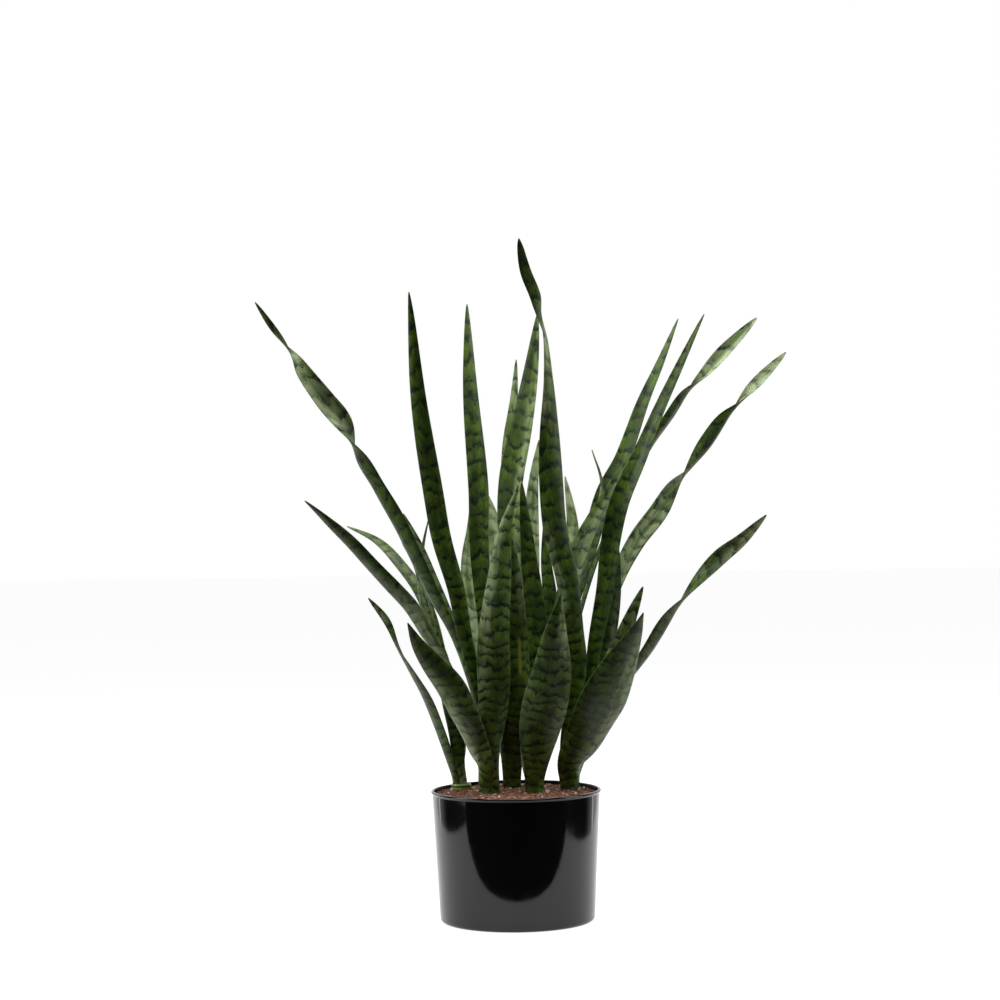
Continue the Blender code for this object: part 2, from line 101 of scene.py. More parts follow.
# The leaves of each shoot, from the outermost and oldest to the innermost. A leaf has the
# direction from which it clasps the shoot in degrees (0 is +X, 90 is +Y), its greatest width in
# millimetres, where along it that width is, how sharply it tapers to the tip, and the points its
# midrib passes through above the potting mix: x, y and z in millimetres, and the way the blade
# faces in degrees (0 turns its hollow side to -Y, 90 to +X, 180 to +Y).
LEAVES = {
    "left": (
        (205, 32, 0.45, 0.75, (
            (-100, 45, 225, 118), (-115, 40, 275, 122), (-135, 25, 330, 122), (-155, 10, 370, 115),
            (-175, -5, 410, 95), (-190, -20, 450, 55), (-215, -35, 485, 35),
        )),
        (290, 30, 0.5, 0.75, (
            (-85, 50, 225, 190), (-90, 45, 275, 170), (-100, 40, 325, 155), (-110, 45, 380, 140),
            (-125, 50, 425, 130), (-140, 65, 475, 118), (-150, 80, 525, 100), (-170, 90, 565, 95),
        )),
        (130, 26, 0.6, 0.75, (
            (-90, 100, 250, 45), (-105, 120, 335, 48), (-120, 140, 410, 45), (-145, 170, 480, 30),
            (-180, 200, 530, 14), (-215, 225, 565, 5), (-265, 250, 590, 5),
        )),
        (150, 20, 0.5, 0.75, (
            (-80, 85, 255, 50), (-95, 90, 320, 60), (-110, 95, 390, 68), (-125, 100, 455, 70),
            (-135, 110, 505, 65), (-140, 120, 550, 60), (-130, 130, 600, 60),
        )),
    ),
    "centre_left": (
        (218, 48, 0.62, 1.0, (
            (-50, -20, 230, 138), (-60, -25, 265, 155), (-75, -40, 305, 162), (-95, -50, 350, 168),
            (-120, -60, 385, 172), (-140, -70, 415, 175), (-155, -85, 450, 175),
        )),
        (318, 52, 0.45, 0.95, (
            (-35, -15, 255, 205), (-30, -30, 330, 190), (-30, -45, 420, 180), (-20, -50, 515, 178),
            (-10, -50, 590, 170), (10, -45, 650, 150),
        )),
        (222, 33, 0.62, 0.75, (
            (-55, -5, 260, 122), (-75, -10, 315, 122), (-95, -15, 365, 125), (-125, -35, 420, 138),
            (-150, -45, 465, 145), (-175, -55, 495, 150), (-210, -70, 535, 153), (-240, -85, 570, 160),
            (-275, -100, 605, 163), (-300, -120, 630, 165),
        )),
        (160, 40, 0.62, 0.75, (
            (-50, 25, 265, 78), (-65, 30, 340, 105), (-90, 30, 420, 122), (-120, 20, 480, 131),
            (-170, -10, 590, 130), (-200, -20, 645, 128), (-225, -35, 690, 127), (-250, -50, 745, 45),
            (-275, -60, 780, 15), (-305, -70, 820, 35), (-320, -80, 845, 85), (-345, -90, 880, 145),
            (-370, -100, 920, 160),
        )),
        (240, 32, 0.62, 0.75, (
            (-40, 0, 270, 152), (-55, -10, 345, 160), (-75, -20, 435, 170), (-85, -30, 495, 175),
            (-105, -40, 570, 176), (-115, -50, 630, 175), (-135, -80, 775, 170), (-145, -120, 930, 160),
        )),
        (30, 33, 0.62, 0.75, (
            (-35, 20, 265, -40), (-35, 15, 355, -25), (-45, 15, 480, -12), (-50, 20, 570, -8),
            (-50, 30, 645, -5), (-60, 60, 780, -8), (-65, 100, 930, -20),
        )),
    ),
    "back_left": (
        (270, 50, 0.5, 0.9, (
            (-5, 35, 250, 180), (0, 5, 330, 182), (0, 0, 405, 185), (0, -10, 480, 185),
            (0, -15, 530, 185), (-5, -20, 585, 190),
        )),
        (95, 70, 0.75, 0.75, (
            (-15, 100, 260, 18), (-30, 130, 335, 10), (-40, 155, 410, 8), (-50, 180, 505, 5),
            (-45, 200, 580, 5), (-55, 220, 660, 5),
        )),
        (188, 44, 0.55, 0.75, (
            (-25, 60, 260, 98), (-45, 65, 325, 108), (-75, 65, 385, 113), (-100, 65, 445, 112),
            (-120, 60, 500, 112), (-140, 50, 555, 118), (-165, 40, 610, 120),
        )),
        (42, 28, 0.6, 0.75, (
            (0, 95, 260, -22), (0, 105, 335, -12), (0, 155, 470, 0), (-5, 200, 595, 5),
            (-5, 240, 710, 10), (5, 260, 790, 15), (10, 280, 855, 20),
        )),
        (20, 40, 0.65, 0.75, (
            (0, 75, 260, -40), (0, 80, 335, -15), (0, 95, 475, -5), (-5, 120, 595, 0),
            (0, 140, 665, 0), (15, 160, 735, 5), (30, 190, 815, 10), (45, 220, 925, 20),
        )),
    ),
    "centre_right": (
        (265, 71, 0.5, 1.0, (
            (30, -20, 235, 178), (35, -35, 280, 178), (45, -50, 325, 180), (55, -60, 370, 182),
            (60, -75, 420, 185), (70, -90, 490, 200),
        )),
        (190, 34, 0.45, 0.9, (
            (15, 5, 225, 140), (20, 0, 275, 160), (35, -10, 330, 175), (50, -15, 375, 180),
            (65, -20, 415, 180),
        )),
        (80, 30, 0.5, 0.75, (
            (35, 35, 250, -5), (40, 50, 325, 0), (50, 60, 400, 5), (55, 70, 475, 10),
            (50, 75, 535, 15), (50, 80, 605, 15),
        )),
        (150, 34, 0.55, 0.75, (
            (25, 15, 250, 50), (30, 40, 325, 20), (35, 45, 415, 0), (30, 50, 490, 0),
            (25, 50, 535, -5), (20, 50, 595, -10), (15, 50, 655, -15),
        )),
        (10, 38, 0.55, 0.75, (
            (40, 15, 250, -75), (55, 20, 325, -60), (70, 35, 415, -45), (85, 50, 490, -32),
            (105, 70, 555, -18), (140, 85, 620, -20), (185, 90, 695, -30),
        )),
    ),
    "right": (
        (290, 82, 0.54, 1.0, (
            (85, 10, 230, 195), (110, 0, 275, 195), (130, -20, 315, 195), (145, -35, 350, 198),
            (165, -50, 395, 203), (180, -65, 430, 208), (190, -80, 460, 215),
        )),
        (12, 30, 0.75, 0.75, (
            (110, 50, 245, 266), (130, 30, 290, 245), (160, 25, 340, 235), (200, 10, 395, 225),
            (230, -5, 445, 225), (270, -20, 495, 282), (310, -30, 540, 330), (340, -40, 565, 345),
            (375, -50, 600, 350),
        )),
        (5, 36, 0.55, 0.75, (
            (100, 40, 250, 262), (120, 30, 305, 225), (140, 30, 355, 208), (160, 25, 405, 197),
            (175, 20, 445, 190), (195, 15, 495, 185),
        )),
        (228, 40, 0.6, 0.55, (
            (75, 15, 255, 160), (85, 10, 315, 172), (95, 0, 380, 180), (90, -5, 430, 185),
            (80, -10, 515, 188), (65, -20, 580, 192), (60, -25, 655, 198), (60, -35, 730, 220),
            (60, -50, 795, 244), (55, -65, 860, 265), (45, -75, 900, 288), (40, -80, 925, 320),
            (25, -95, 960, 345), (15, -120, 1005, 350),
        )),
        (-32, 33, 0.62, 0.75, (
            (90, 45, 255, -85), (110, 45, 325, -55), (125, 45, 415, -25), (140, 50, 490, -12),
            (150, 50, 565, -15), (165, 40, 625, -25), (195, 30, 690, -40), (225, 20, 760, -50),
            (260, 0, 835, -55), (290, -20, 900, -60),
        )),
        (75, 37, 0.65, 0.6, (
            (85, 80, 260, -15), (110, 90, 335, -32), (135, 115, 425, -42), (165, 135, 505, -38),
            (195, 145, 560, -32), (230, 150, 605, -32), (255, 155, 645, -58), (280, 160, 675, -100),
            (305, 165, 710, -130), (330, 170, 745, -127), (355, 175, 770, -85), (395, 185, 815, -10),
            (435, 195, 855, 0),
        )),
        (60, 34, 0.55, 0.75, (
            (90, 60, 255, -38), (115, 65, 320, -45), (140, 75, 395, -35), (155, 80, 475, -30),
            (160, 80, 535, -35), (160, 80, 565, -40),
        )),
    ),
    "back_right": (
        (40, 32, 0.6, 0.8, (
            (50, 110, 250, -42), (65, 140, 330, -20), (80, 185, 440, -8), (95, 205, 530, -5),
            (95, 220, 595, -5), (85, 235, 665, 0),
        )),
        (168, 32, 0.6, 0.8, (
            (20, 100, 255, 50), (15, 135, 335, 20), (25, 190, 470, 5), (30, 240, 595, 0),
            (35, 260, 660, 5), (45, 280, 725, 15),
        )),
        (12, 16, 0.5, 0.75, (
            (50, 90, 260, -60), (65, 100, 335, -42), (95, 115, 470, -40), (125, 125, 580, -40),
            (140, 135, 650, -50), (125, 140, 705, -60),
        )),
        (340, 34, 0.75, 0.6, (
            (40, 75, 260, -90), (70, 80, 335, -78), (110, 90, 475, -76), (145, 105, 570, -80),
            (185, 125, 645, -92), (215, 140, 705, -103), (250, 150, 755, -110), (275, 160, 790, -98),
            (305, 165, 820, -50), (335, 175, 855, -12), (365, 185, 885, -5), (390, 195, 910, -5),
        )),
        (118, 30, 0.6, 0.75, (
            (40, 105, 260, -24), (60, 110, 335, -38), (85, 125, 440, -22), (120, 140, 555, -12),
            (145, 160, 635, -10), (175, 175, 690, -15), (210, 200, 780, -20), (240, 220, 845, -25),
            (270, 250, 915, -30),
        )),
    ),
}

# ---------------------------------------------------------------------------------------------
# Helpers
# ---------------------------------------------------------------------------------------------


def srgb(code, alpha=1.0):
    """A hex colour as the eye reads it, turned to the linear values that shaders use."""
    channels = [int(code[place:place + 2], 16) / 255 for place in (0, 2, 4)]
    linear = [part / 12.92 if part <= 0.04045 else ((part + 0.055) / 1.055) ** 2.4 for part in channels]
    return (*linear, alpha)


def add_node(tree, kind, links=(), **settings):
    """Adds one node. A setting is a property, or in_NAME for a socket; links are (socket, source)."""
    node = tree.nodes.new(kind)
    for name, value in settings.items():
        if name.startswith("in_"):
            label = name[3:].replace("_", " ")
            node.inputs[int(label) if label.isdigit() else label].default_value = value
        else:
            setattr(node, name, value)
    for socket, source in links:
        tree.links.new(source, node.inputs[socket])
    return node


def new_material(name):
    made = bpy.data.materials.new(name)
    made.use_nodes = True
    tree = made.node_tree
    shader = tree.nodes["Principled BSDF"]
    return made, tree, shader


def deselect():
    bpy.ops.object.select_all(action="DESELECT")


def only(piece):
    deselect()
    piece.select_set(True)
    bpy.context.view_layer.objects.active = piece


def apply_modifiers(piece):
    only(piece)
    for modifier in list(piece.modifiers):
        bpy.ops.object.modifier_apply(modifier=modifier.name)


def finish(piece, material, node):
    """The piece takes its material, rides on the plant and stands for its solid."""
    piece.data.materials.clear()
    piece.data.materials.append(material)
    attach(piece, "root")
    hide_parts(node)


def eased(share):
    share = min(max(share, 0.0), 1.0)
    return share * share * (3 - 2 * share)


# ---------------------------------------------------------------------------------------------
# Camera: at the height of the upper leaves, looking level at the middle of the plant
# ---------------------------------------------------------------------------------------------

CAMERA_PLACE = Vector((0.0, -3.6, 0.61))
CAMERA_AIM = Vector((-0.00497, 1.0, 0.004817))
CAMERA_ROLL = math.radians(-0.8)
SENSOR_WIDTH = 36.0
FOCAL_SHARE = 2.408

bpy.ops.object.camera_add(location=CAMERA_PLACE)
camera = bpy.context.object
camera.name = "studio_camera"
camera.rotation_mode = "QUATERNION"
camera.rotation_quaternion = CAMERA_AIM.to_track_quat("-Z", "Y") @ Quaternion((0, 0, 1), CAMERA_ROLL)
camera.data.sensor_width = SENSOR_WIDTH
camera.data.lens = SENSOR_WIDTH * FOCAL_SHARE
camera.data.clip_end = 100.0
bpy.context.scene.camera = camera

# ---------------------------------------------------------------------------------------------
# Materials
# ---------------------------------------------------------------------------------------------


BAND_SPACING_MM = 20


def waxy_leaf():
    """Living snake plant leaf: a thick waxy cuticle over dark green, with darker wavy cross bands."""
    made, tree, shader = new_material("waxy_snake_plant_leaf")
    skin = add_node(tree, "ShaderNodeUVMap", uv_map="leaf_skin")
    place = add_node(tree, "ShaderNodeSeparateXYZ", [(0, skin.outputs[0])])
    growth = add_node(tree, "ShaderNodeAttribute", attribute_name="growth")
    shares = add_node(tree, "ShaderNodeSeparateColor", [(0, growth.outputs["Color"])])
    along = shares.outputs[0]
    across = shares.outputs[1]
    # The third growth share marks the pale patches: partly the leaf's real wax bloom, partly painted sheen
    # where light glances off the cuticle.
    bloom_and_sheen = shares.outputs[2]

    def stretched(width_mm, length_mm):
        """The leaf's own coordinates, one unit to a patch of this size across and along."""
        return add_node(
            tree, "ShaderNodeVectorMath", [(0, skin.outputs[0])], operation="MULTIPLY",
            in_1=(1000 / width_mm, 1000 / length_mm, 1.0),
        ).outputs[0]

    def cloud(width_mm, length_mm, detail=2.0, roughness=0.5):
        return add_node(
            tree, "ShaderNodeTexNoise", [("Vector", stretched(width_mm, length_mm))],
            noise_dimensions="2D", in_Scale=1.0, in_Detail=detail, in_Roughness=roughness,
        ).outputs["Fac"]

    def sum_of(first, second, first_times=1.0, plus=0.0):
        part = add_node(
            tree, "ShaderNodeMath", [(0, first)], operation="MULTIPLY_ADD", in_1=first_times, in_2=plus
        )
        return add_node(
            tree, "ShaderNodeMath", [(0, part.outputs[0]), (1, second)], operation="ADD"
        ).outputs[0]

    def smooth_step(value, low, high, start=0.0, end=1.0):
        return add_node(
            tree, "ShaderNodeMapRange", [(0, value)], interpolation_type="SMOOTHSTEP",
            in_1=low, in_2=high, in_3=start, in_4=end,
        ).outputs[0]

    def product(first, second):
        return add_node(tree, "ShaderNodeMath", [(0, first), (1, second)], operation="MULTIPLY").outputs[0]

    def tint(share, first, second):
        """A mix of two colours, each a hex code or a socket."""
        node = add_node(tree, "ShaderNodeMix", [(0, share)], data_type="RGBA")
        for socket, colour in ((6, first), (7, second)):
            if isinstance(colour, str):
                node.inputs[socket].default_value = srgb(colour)
            else:
                tree.links.new(colour, node.inputs[socket])
        return node.outputs[2]

    # The cross bands are evenly spaced in the leaf's own coordinate. On the leaf they stand about
    # 13 mm apart at the foot and about 33 mm at the tip of the longest leaf. They wander slowly along
    # the leaf and are drawn out across it.
    spaced = add_node(
        tree, "ShaderNodeMath", [(0, place.outputs[1])], operation="MULTIPLY", in_1=1000 / BAND_SPACING_MM
    ).outputs[0]
    wander = cloud(34, 50, 1.0)
    zigzag = cloud(9, 30, 2.0, 0.55)
    bent = sum_of(wander, sum_of(zigzag, spaced, 0.7), 1.6)
    part_way = add_node(tree, "ShaderNodeMath", [(0, bent)], operation="FRACT").outputs[0]
    core = product(smooth_step(part_way, 0.0, 0.12), smooth_step(part_way, 0.55, 0.28))
    shade = product(smooth_step(part_way, 0.05, 0.25), smooth_step(part_way, 0.90, 0.45))
    broken = smooth_step(cloud(12, 8, 2.0, 0.6), 0.38, 0.56, 0.2, 1.0)
    band = product(core, broken)
    soft_band = product(shade, smooth_step(cloud(16, 18, 3.0), 0.36, 0.64, 0.05, 0.85))

    patches = smooth_step(cloud(20, 60, 4.0, 0.6), 0.36, 0.66)
    mottle = smooth_step(cloud(3.2, 4.5, 3.0, 0.7), 0.42, 0.66, 0.0, 0.45)
    streaks = smooth_step(cloud(1.6, 90, 2.0, 0.6), 0.35, 0.7)
    ground = tint(patches, "33460D", "55701C")
    ground = tint(product(streaks, smooth_step(along, 0.22, 0.02, 0.10, 0.6)), ground, "67893A")
    ground = tint(product(mottle, smooth_step(bloom_and_sheen, 0.9, 0.0, 0.3, 1.0)), ground, "1F330E")
    # Painted sheen: the pale frost is partly real wax bloom and partly a painted highlight of light
    # glancing off the cuticle; the mottle and bands fade under it.
    frost_and_sheen = product(bloom_and_sheen, smooth_step(cloud(11, 70, 3.0, 0.6), 0.28, 0.62, 0.30, 1.0))
    ground = tint(smooth_step(frost_and_sheen, 0.0, 1.0, 0.0, 0.90), ground, "A9B98A")
    shown = smooth_step(bloom_and_sheen, 0.4, 1.0, 1.0, 0.55)
    soft_share = product(product(soft_band, shown), smooth_step(along, 0.0, 0.08, 0.2, 0.62))
    marked = tint(soft_share, ground, "1E3213")
    band_share = product(product(band, shown), smooth_step(along, 0.0, 0.08, 0.4, 0.92))
    marked = tint(band_share, marked, "0C180B")
    edged = tint(smooth_step(across, 0.94, 1.0, 0.0, 0.35), marked, "5F7440")
    dried = tint(growth.outputs["Alpha"], edged, "9A9A3A")
    tipped = tint(smooth_step(along, 0.992, 0.999), dried, "6E5A38")
    tree.links.new(tipped, shader.inputs["Base Color"])

    # The cuticle is smoother between the bands. Its faint ridges along the leaf are drawn 4.5 mm wide,
    # wider than real ones, so that they show.
    sheen = sum_of(band, cloud(12, 40, 2.0), 0.08, 0.10)
    rough = smooth_step(sheen, 0.35, 0.75, 0.36, 0.52)
    tree.links.new(rough, shader.inputs["Roughness"])
    ridges = sum_of(cloud(4.5, 160, 0.0), sum_of(band, cloud(14, 30, 1.0), -0.25), 0.35)
    bump = add_node(
        tree, "ShaderNodeBump", [("Height", ridges)], in_Strength=0.14, in_Distance=0.0012
    )
    tree.links.new(bump.outputs[0], shader.inputs["Normal"])
    shader.inputs["IOR"].default_value = 1.36
    shader.inputs["Coat Weight"].default_value = 0.05
    shader.inputs["Coat Roughness"].default_value = 0.25
    return made


def moulded_gloss_plastic():
    """Injection moulded ABS pot, polished near black: sharp reflections with faint rub marks and dust."""
    made, tree, shader = new_material("moulded_gloss_black_abs")
    place = add_node(tree, "ShaderNodeTexCoord")
    dust = add_node(
        tree, "ShaderNodeTexNoise", [("Vector", place.outputs["Object"])],
        in_Scale=340.0, in_Detail=3.0, in_Roughness=0.65,
    )
    specks = add_node(
        tree, "ShaderNodeMapRange", [(0, dust.outputs["Fac"])], interpolation_type="SMOOTHSTEP",
        in_1=0.60, in_2=0.74, in_3=0.0, in_4=0.35,
    )
    colour = add_node(tree, "ShaderNodeMix", [(0, specks.outputs[0])], data_type="RGBA")
    colour.inputs[6].default_value = srgb("0C0C0D")
    colour.inputs[7].default_value = srgb("16161A")
    tree.links.new(colour.outputs[2], shader.inputs["Base Color"])
    smears = add_node(
        tree, "ShaderNodeTexNoise", [("Vector", place.outputs["Object"])],
        in_Scale=28.0, in_Detail=4.0, in_Roughness=0.6,
    )
    rough = add_node(
        tree, "ShaderNodeMapRange", [(0, smears.outputs["Fac"])], in_1=0.3, in_2=0.7, in_3=0.05, in_4=0.11
    )
    tree.links.new(rough.outputs[0], shader.inputs["Roughness"])
    bump = add_node(
        tree, "ShaderNodeBump", [("Height", smears.outputs["Fac"])], in_Strength=0.04, in_Distance=0.002
    )
    tree.links.new(bump.outputs[0], shader.inputs["Normal"])
    shader.inputs["IOR"].default_value = 1.45
    return made


def loose_fill(name, dark, mid, light, patch_mm, roughness):
    """Loose organic bits: matt, with grains of several browns or whites."""
    made, tree, shader = new_material(name)
    place = add_node(tree, "ShaderNodeTexCoord")
    grains = add_node(
        tree, "ShaderNodeTexNoise", [("Vector", place.outputs["Object"])],
        in_Scale=1000 / patch_mm, in_Detail=4.0, in_Roughness=0.7,
    )
    ramp = add_node(tree, "ShaderNodeValToRGB", [(0, grains.outputs["Fac"])])
    ramp.color_ramp.elements[0].position = 0.34
    ramp.color_ramp.elements[0].color = srgb(dark)
    ramp.color_ramp.elements[1].position = 0.68
    ramp.color_ramp.elements[1].color = srgb(light)
    middle = ramp.color_ramp.elements.new(0.5)
    middle.color = srgb(mid)
    tree.links.new(ramp.outputs[0], shader.inputs["Base Color"])
    bump = add_node(
        tree, "ShaderNodeBump", [("Height", grains.outputs["Fac"])], in_Strength=0.6, in_Distance=0.001
    )
    tree.links.new(bump.outputs[0], shader.inputs["Normal"])
    shader.inputs["Roughness"].default_value = roughness
    return made


def leaf_sheath_skin():
    """The tough sheath at a shoot's foot: pale green, smooth and shiny, ringed where old leaves fell."""
    made, tree, shader = new_material("pale_leaf_sheath")
    place = add_node(tree, "ShaderNodeTexCoord")
    apart = add_node(tree, "ShaderNodeSeparateXYZ", [(0, place.outputs["Object"])])
    rings = add_node(
        tree, "ShaderNodeMath", [(0, apart.outputs[2])], operation="MULTIPLY", in_1=1000 / 5.5
    )
    wave = add_node(tree, "ShaderNodeMath", [(0, rings.outputs[0])], operation="FRACT")
    line = add_node(
        tree, "ShaderNodeMapRange", [(0, wave.outputs[0])], interpolation_type="SMOOTHSTEP",
        in_1=0.55, in_2=0.95, in_3=0.0, in_4=0.8,
    )
    colour = add_node(tree, "ShaderNodeMix", [(0, line.outputs[0])], data_type="RGBA")
    colour.inputs[6].default_value = srgb("4E6A2C")
    colour.inputs[7].default_value = srgb("AEB878")
    tree.links.new(colour.outputs[2], shader.inputs["Base Color"])
    shader.inputs["Roughness"].default_value = 0.28
    return made


LEAF = waxy_leaf()
PLASTIC = moulded_gloss_plastic()
PEAT = loose_fill("peat_and_bark_mix", "2C140D", "693D2E", "A87460", 3.0, 0.95)
BARK = loose_fill("composted_bark_chips", "4A281D", "855745", "C39A80", 6.0, 0.9)
COIR = loose_fill("coir_fibres", "A07E60", "C4A482", "E0CBAE", 5.0, 0.9)
PERLITE = loose_fill("perlite_grains", "C9C4B8", "E2DFD6", "F4F2EC", 2.0, 0.85)
SHEATH = leaf_sheath_skin()
ROOTSTOCK = loose_fill("rhizome_rind", "8A5A2A", "B07C3F", "C9995A", 8.0, 0.7)
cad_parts["rhizome"].data.materials.clear()
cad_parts["rhizome"].data.materials.append(ROOTSTOCK)

# ---------------------------------------------------------------------------------------------
# Leaves
# ---------------------------------------------------------------------------------------------

# The smoothing at the end thins a blade a little, so it starts thicker than the solid's.
FULL_THICKNESS = BLADE_THICKNESS * 1.15
LEAF_COLUMNS = 12
ROW_LENGTH = 0.009
FOOT_BAND_SPACING = 0.0125
BAND_GROWTH = 0.024
MARGIN_SHARE = 0.42
WAVE_LENGTH = 0.085
WAVE_HEIGHT = 0.0011


def ring_radius(shoot, order):
    """How far the leaf of this order, counted from the outside, stands from its shoot's centre."""
    return RING_PITCHES[shoot] * (len(LEAVES[shoot]) - order)


def bundle_radius(shoot):
    """The radius that the nested bases of a shoot fill, with its sheath."""
    radius = ring_radius(shoot, 0) + BASE_THICKNESS / 2 + 2 * GAP
    if shoot == "left":
        radius += SHEATH_THICKNESS + GAP
    return radius


def lengths_along(points):
    """The distance from the first point to each point, measured from point to point."""
    lengths = [0.0]
    for first, second in zip(points, points[1:]):
        lengths.append(lengths[-1] + (Vector(second[:3]) - Vector(first[:3])).length)
    return lengths


def spline(points, share):
    """A smooth curve through rows of numbers, read at a share of its length from 0 to 1."""
    lengths = lengths_along(points)
    at = share * lengths[-1]
    index = 0
    while index < len(points) - 2 and lengths[index + 1] < at:
        index += 1
    span = lengths[index + 1] - lengths[index]
    part = (at - lengths[index]) / span

    def slope(place, number):
        low = max(place - 1, 0)
        high = min(place + 1, len(points) - 1)
        return (points[high][number] - points[low][number]) / (lengths[high] - lengths[low])

    found = []
    for number in range(len(points[0])):
        start, end = points[index][number], points[index + 1][number]
        first, second = slope(index, number) * span, slope(index + 1, number) * span
        bend = 2 * start - 2 * end + first + second
        swing = -3 * start + 3 * end - 2 * first - second
        found.append(start + first * part + swing * part**2 + bend * part**3)
    return found


def leaf_route(shoot, order):
    """The midrib's points in metres with the turn of the blade, from the crown to the tip."""
    clasp, _, _, _, path = LEAVES[shoot][order]
    outward = Vector((math.cos(math.radians(clasp)), math.sin(math.radians(clasp)), 0.0))
    x, y = SHOOT_CENTRES[shoot]
    foot = Vector((x * MM, y * MM, 0.0)) + outward * ring_radius(shoot, order)
    turn = clasp - 90
    turn += 360 * round((path[0][3] - turn) / 360)
    route = [(foot.x, foot.y, z, turn) for z in (CROWN_TOP + GAP, MIX_TOP, MIX_TOP + STRAIGHT_FOOT)]
    for x, y, z, face in path:
        route.append((x * MM, y * MM, z * MM, face))
    return route


def blade_width(share, unfolded, base_width, width, widest, taper):
    """The blade's width measured round its curve at a share of its length."""
    if share < widest:
        return base_width + (width - base_width) * min(eased(share / widest), unfolded)
    beyond = min((share - widest) / (1 - widest), 1.0)
    return TIP_WIDTH + (width - TIP_WIDTH) * (1 - beyond**TIP_BLUNTNESS) ** taper


def blade_frame(route, share):
    """Where the midrib is, with the blade's sideways and hollow-side directions."""
    x, y, z, turn = spline(route, share)
    here = Vector((x, y, z))
    before = Vector(spline(route, max(share - DIRECTION_STEP, 0.0))[:3])
    after = Vector(spline(route, min(share + DIRECTION_STEP, 1.0))[:3])
    along = (after - before).normalized()
    across = Vector((1, 0, 0))
    across = (across - along * across.dot(along)).normalized()
    away = along.cross(across)
    side = across * math.cos(math.radians(turn)) + away * math.sin(math.radians(turn))
    return here, side, side.cross(along)


def banded(distance):
    """A distance along a leaf as its cross bands see it: they crowd together towards the foot."""
    return BAND_SPACING_MM * MM * math.log(1 + distance * BAND_GROWTH / FOOT_BAND_SPACING) / BAND_GROWTH


def grow_leaf(shoot, order, number):
    """One leaf: a sheet rolled to clasp its shoot, opening to a channelled blade, then thickened."""
    _, width, widest, taper, _ = LEAVES[shoot][order]
    width = width * MM
    route = leaf_route(shoot, order)
    length = lengths_along(route)[-1]
    base_width = ring_radius(shoot, order) * CLASP_ANGLE
    rows = round(length / ROW_LENGTH)
    deselect()
    bpy.ops.mesh.primitive_grid_add(x_subdivisions=LEAF_COLUMNS, y_subdivisions=rows, size=2.0)
    leaf = bpy.context.object
    leaf.name = f"blade_{shoot}_{order + 1}"
    mesh = leaf.data
    mesh.uv_layers[0].name = "leaf_skin"
    thickness = leaf.vertex_groups.new(name="thickness")
    spots = []
    shares = []
    frames = {}
    for vertex in mesh.vertices:
        part = vertex.co.x
        share = round((vertex.co.y + 1) / 2 * rows) / rows
        if share not in frames:
            frames[share] = blade_frame(route, share)
        here, side, hollow = frames[share]
        unfolded = eased((here.z - MIX_TOP - UNFOLD_DELAY * order) / UNFOLD_HEIGHT)
        angle = CLASP_ANGLE + (CHANNEL_ANGLE - CLASP_ANGLE) * unfolded
        span = blade_width(share, unfolded, base_width, width, widest, taper)
        reach = span / angle
        bend = part * angle / 2
        wave = noise.noise(Vector((share * length / WAVE_LENGTH, part * 1.5, number * 7.3)))
        ripple = wave * WAVE_HEIGHT * unfolded * part * part * min(span / width, 1.0)
        vertex.co = here + side * (reach * math.sin(bend) + ripple * 0.6 * (1 if part > 0 else -1))
        vertex.co += hollow * (reach * (1 - math.cos(bend)) + ripple)
        full = BASE_THICKNESS + (FULL_THICKNESS - BASE_THICKNESS) * unfolded
        thick = full + (TIP_THICKNESS - full) * eased((share - THINS_FROM) / (1 - THINS_FROM))
        thick *= 1 - (1 - MARGIN_SHARE) * unfolded * abs(part) ** 3
        thickness.add([vertex.index], thick / (FULL_THICKNESS), "REPLACE")
        # Pale patch: partly real wax bloom, partly painted sheen.
        wax_and_sheen = wax_and_sheen_at(shoot, order + 1, share, part)
        dry = dry_at(shoot, order + 1, share, part)
        shares += [share, abs(part), wax_and_sheen, dry]
        spots.append((part * span / 2 + number, banded(share * length) + number * 0.37))
    growth = mesh.color_attributes.new(name="growth", type="FLOAT_COLOR", domain="POINT")
    growth.data.foreach_set("color", shares)
    skin = mesh.uv_layers["leaf_skin"]
    for loop in mesh.loops:
        skin.data[loop.index].uv = spots[loop.vertex_index]
    shell = leaf.modifiers.new("Thickness", "SOLIDIFY")
    shell.thickness = FULL_THICKNESS
    shell.offset = 0.0
    shell.vertex_group = thickness.name
    fine = leaf.modifiers.new("Fine", "SUBSURF")
    fine.levels = 1
    fine.render_levels = 1
    apply_modifiers(leaf)
    bpy.ops.object.shade_smooth()
    finish(leaf, LEAF, f"leaf_{shoot}_{order + 1}")
